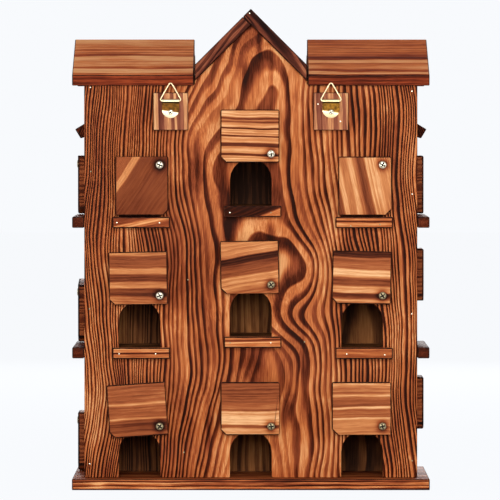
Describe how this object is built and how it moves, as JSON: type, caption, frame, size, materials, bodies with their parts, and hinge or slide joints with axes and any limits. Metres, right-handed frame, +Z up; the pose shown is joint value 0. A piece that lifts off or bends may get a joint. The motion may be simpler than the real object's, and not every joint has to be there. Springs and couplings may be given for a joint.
{
  "type": "multi-chamber birdhouse",
  "caption": "Wooden birdhouse block with arched openings, plank covers that turn on screws, a gabled roof and wire hangers.",
  "frame": {"origin": "middle of the base board's underside", "axes": "+Z up; -Y points out of the back panel that carries the hangers; +X to the right when that panel is faced"},
  "size_m": [0.3886, 0.26, 0.522],
  "materials": {
    "torched_panel": "torched and oiled pine, satin",
    "torched_board": "torched and oiled pine, satin",
    "cover_board": "lightly torched pine, satin",
    "inner_board": "rough sawn pine, matt",
    "brass_plate": "bright brass",
    "zinc_wire": "zinc-plated wire"
  },
  "bodies": {
    "house": {"base_board": "torched_board", "back_panel": "torched_panel", "front_panel": "torched_panel", "side_wall_left": "torched_panel", "side_wall_right": "torched_panel", "gable_roof_left": "torched_board", "gable_roof_right": "torched_board", "wing_roof_left_near": "torched_board", "wing_roof_left_far": "torched_board", "wing_roof_right_near": "torched_board", "wing_roof_right_far": "torched_board", "ledge_back_left_mid": "torched_board", "ledge_back_left_top": "torched_board", "ledge_back_centre_mid": "torched_board", "ledge_back_centre_top": "torched_board", "ledge_back_right_mid": "torched_board", "ledge_back_right_top": "torched_board", "ledge_side_left_mid": "torched_board", "ledge_side_left_top": "torched_board", "ledge_side_right_mid": "torched_board", "ledge_side_right_top": "torched_board", "awning_left": "torched_board", "awning_right": "torched_board", "hanger_block_left": "cover_board", "hanger_block_right": "cover_board", "hanger_plate_left": "brass_plate", "hanger_plate_right": "brass_plate", "divider_left": "inner_board", "divider_right": "inner_board", "partition_left": "inner_board", "partition_centre": "inner_board", "partition_right": "inner_board", "floor_back_left_mid": "inner_board", "floor_back_left_top": "inner_board", "floor_back_centre_mid": "inner_board", "floor_back_centre_top": "inner_board", "floor_back_right_mid": "inner_board", "floor_back_right_top": "inner_board", "floor_front_left_mid": "inner_board", "floor_front_left_top": "inner_board", "floor_front_right_mid": "inner_board", "floor_front_right_top": "inner_board"},
    "cover_back_left_low": {"cover_back_left_low": "cover_board"},
    "cover_back_left_mid": {"cover_back_left_mid": "cover_board"},
    "cover_back_left_top": {"cover_back_left_top": "cover_board"},
    "cover_back_centre_low": {"cover_back_centre_low": "cover_board"},
    "cover_back_centre_mid": {"cover_back_centre_mid": "cover_board"},
    "cover_back_centre_top": {"cover_back_centre_top": "cover_board"},
    "cover_back_right_low": {"cover_back_right_low": "cover_board"},
    "cover_back_right_mid": {"cover_back_right_mid": "cover_board"},
    "cover_back_right_top": {"cover_back_right_top": "cover_board"},
    "cover_side_left_low": {"cover_side_left_low": "cover_board"},
    "cover_side_left_mid": {"cover_side_left_mid": "cover_board"},
    "cover_side_left_top": {"cover_side_left_top": "cover_board"},
    "cover_side_right_low": {"cover_side_right_low": "cover_board"},
    "cover_side_right_mid": {"cover_side_right_mid": "cover_board"},
    "cover_side_right_top": {"cover_side_right_top": "cover_board"},
    "hanger_ring_left": {"hanger_ring_left": "zinc_wire"},
    "hanger_ring_right": {"hanger_ring_right": "zinc_wire"}
  },
  "joints": [
    {"name": "turn_back_left_low", "type": "hinge", "parent": "house", "child": "cover_back_left_low", "pos_m": [-0.099, -0.1103, 0.0685], "axis": [0, 1, 0], "range_deg": [-86, 94]},
    {"name": "turn_back_left_mid", "type": "hinge", "parent": "house", "child": "cover_back_left_mid", "pos_m": [-0.099, -0.1103, 0.2105], "axis": [0, 1, 0], "range_deg": [-89, 91]},
    {"name": "turn_back_left_top", "type": "hinge", "parent": "house", "child": "cover_back_left_top", "pos_m": [-0.099, -0.1103, 0.3525], "axis": [0, 1, 0], "range_deg": [0, 64]},
    {"name": "turn_back_centre_low", "type": "hinge", "parent": "house", "child": "cover_back_centre_low", "pos_m": [0.022, -0.1103, 0.0685], "axis": [0, 1, 0], "range_deg": [-90, 90]},
    {"name": "turn_back_centre_mid", "type": "hinge", "parent": "house", "child": "cover_back_centre_mid", "pos_m": [0.022, -0.1103, 0.2225], "axis": [0, 1, 0], "range_deg": [-89, 91]},
    {"name": "turn_back_centre_top", "type": "hinge", "parent": "house", "child": "cover_back_centre_top", "pos_m": [0.022, -0.1103, 0.3645], "axis": [0, 1, 0], "range_deg": [-90, 80]},
    {"name": "turn_back_right_low", "type": "hinge", "parent": "house", "child": "cover_back_right_low", "pos_m": [0.143, -0.1103, 0.0685], "axis": [0, 1, 0], "range_deg": [-90, 90]},
    {"name": "turn_back_right_mid", "type": "hinge", "parent": "house", "child": "cover_back_right_mid", "pos_m": [0.143, -0.1103, 0.2105], "axis": [0, 1, 0], "range_deg": [-91, 89]},
    {"name": "turn_back_right_top", "type": "hinge", "parent": "house", "child": "cover_back_right_top", "pos_m": [0.143, -0.1103, 0.3525], "axis": [0, 1, 0], "range_deg": [0, 68]},
    {"name": "turn_side_left_low", "type": "hinge", "parent": "house", "child": "cover_side_left_low", "pos_m": [-0.1863, 0.034, 0.0685], "axis": [1, 0, 0], "range_deg": [0, 180]},
    {"name": "turn_side_left_mid", "type": "hinge", "parent": "house", "child": "cover_side_left_mid", "pos_m": [-0.1863, 0.034, 0.2105], "axis": [1, 0, 0], "range_deg": [-6, 174]},
    {"name": "turn_side_left_top", "type": "hinge", "parent": "house", "child": "cover_side_left_top", "pos_m": [-0.1863, 0.034, 0.3525], "axis": [1, 0, 0], "range_deg": [0, 23]},
    {"name": "turn_side_right_low", "type": "hinge", "parent": "house", "child": "cover_side_right_low", "pos_m": [0.1863, 0.078, 0.0685], "axis": [-1, 0, 0], "range_deg": [-90, 90]},
    {"name": "turn_side_right_mid", "type": "hinge", "parent": "house", "child": "cover_side_right_mid", "pos_m": [0.1863, 0.078, 0.2105], "axis": [-1, 0, 0], "range_deg": [-90, 90]},
    {"name": "turn_side_right_top", "type": "hinge", "parent": "house", "child": "cover_side_right_top", "pos_m": [0.1863, 0.078, 0.3525], "axis": [-1, 0, 0], "range_deg": [0, 23]},
    {"name": "swing_ring_left", "type": "hinge", "parent": "house", "child": "hanger_ring_left", "pos_m": [-0.087, -0.1198, 0.4217], "axis": [1, 0, 0], "range_deg": [0, 185]},
    {"name": "swing_ring_right", "type": "hinge", "parent": "house", "child": "hanger_ring_right", "pos_m": [0.087, -0.1198, 0.4217], "axis": [1, 0, 0], "range_deg": [0, 185]}
  ]
}
